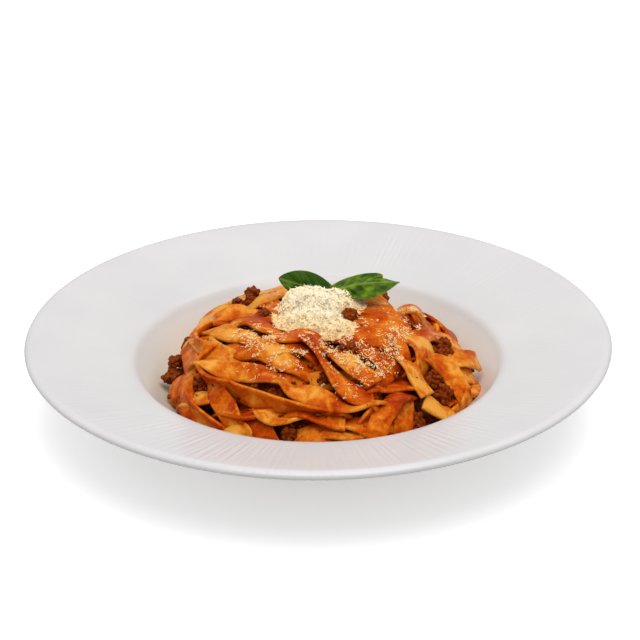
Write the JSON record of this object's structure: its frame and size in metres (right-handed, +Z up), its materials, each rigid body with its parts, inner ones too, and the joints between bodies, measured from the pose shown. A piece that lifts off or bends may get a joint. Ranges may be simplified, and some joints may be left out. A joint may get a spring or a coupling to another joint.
{
  "type": "plate of fettuccine al ragu",
  "caption": "Wide-rimmed porcelain pasta plate holding a heap of fettuccine in meat ragu, topped with grated cheese and basil leaves.",
  "frame": {"origin": "on the plate's axis, on the surface that its foot stands on", "axes": "+Z up along the plate's axis, -Y towards the diner, +X to the diner's right"},
  "size_m": [0.27, 0.27, 0.0681],
  "materials": {
    "porcelain": "white porcelain with a clear gloss glaze, wheel-fluted rim",
    "pasta": "cooked egg pasta coated in oily tomato and meat sauce",
    "meat": "browned minced meat, moist and crumbly",
    "cheese": "finely grated hard cheese",
    "basil": "fresh basil leaf, waxy with paler veins"
  },
  "bodies": {
    "root": {"plate": "porcelain", "meat_01": "meat", "meat_02": "meat", "meat_03": "meat", "meat_04": "meat", "meat_05": "meat", "meat_06": "meat", "meat_07": "meat", "meat_08": "meat", "meat_09": "meat", "meat_10": "meat", "meat_11": "meat", "meat_12": "meat", "meat_13": "meat", "meat_14": "meat", "meat_15": "meat", "meat_16": "meat", "fettuccine": "pasta", "grated_cheese": "cheese", "basil_leaf_left": "basil", "basil_leaf_back": "basil", "basil_leaf_right": "basil"}
  },
  "joints": []
}
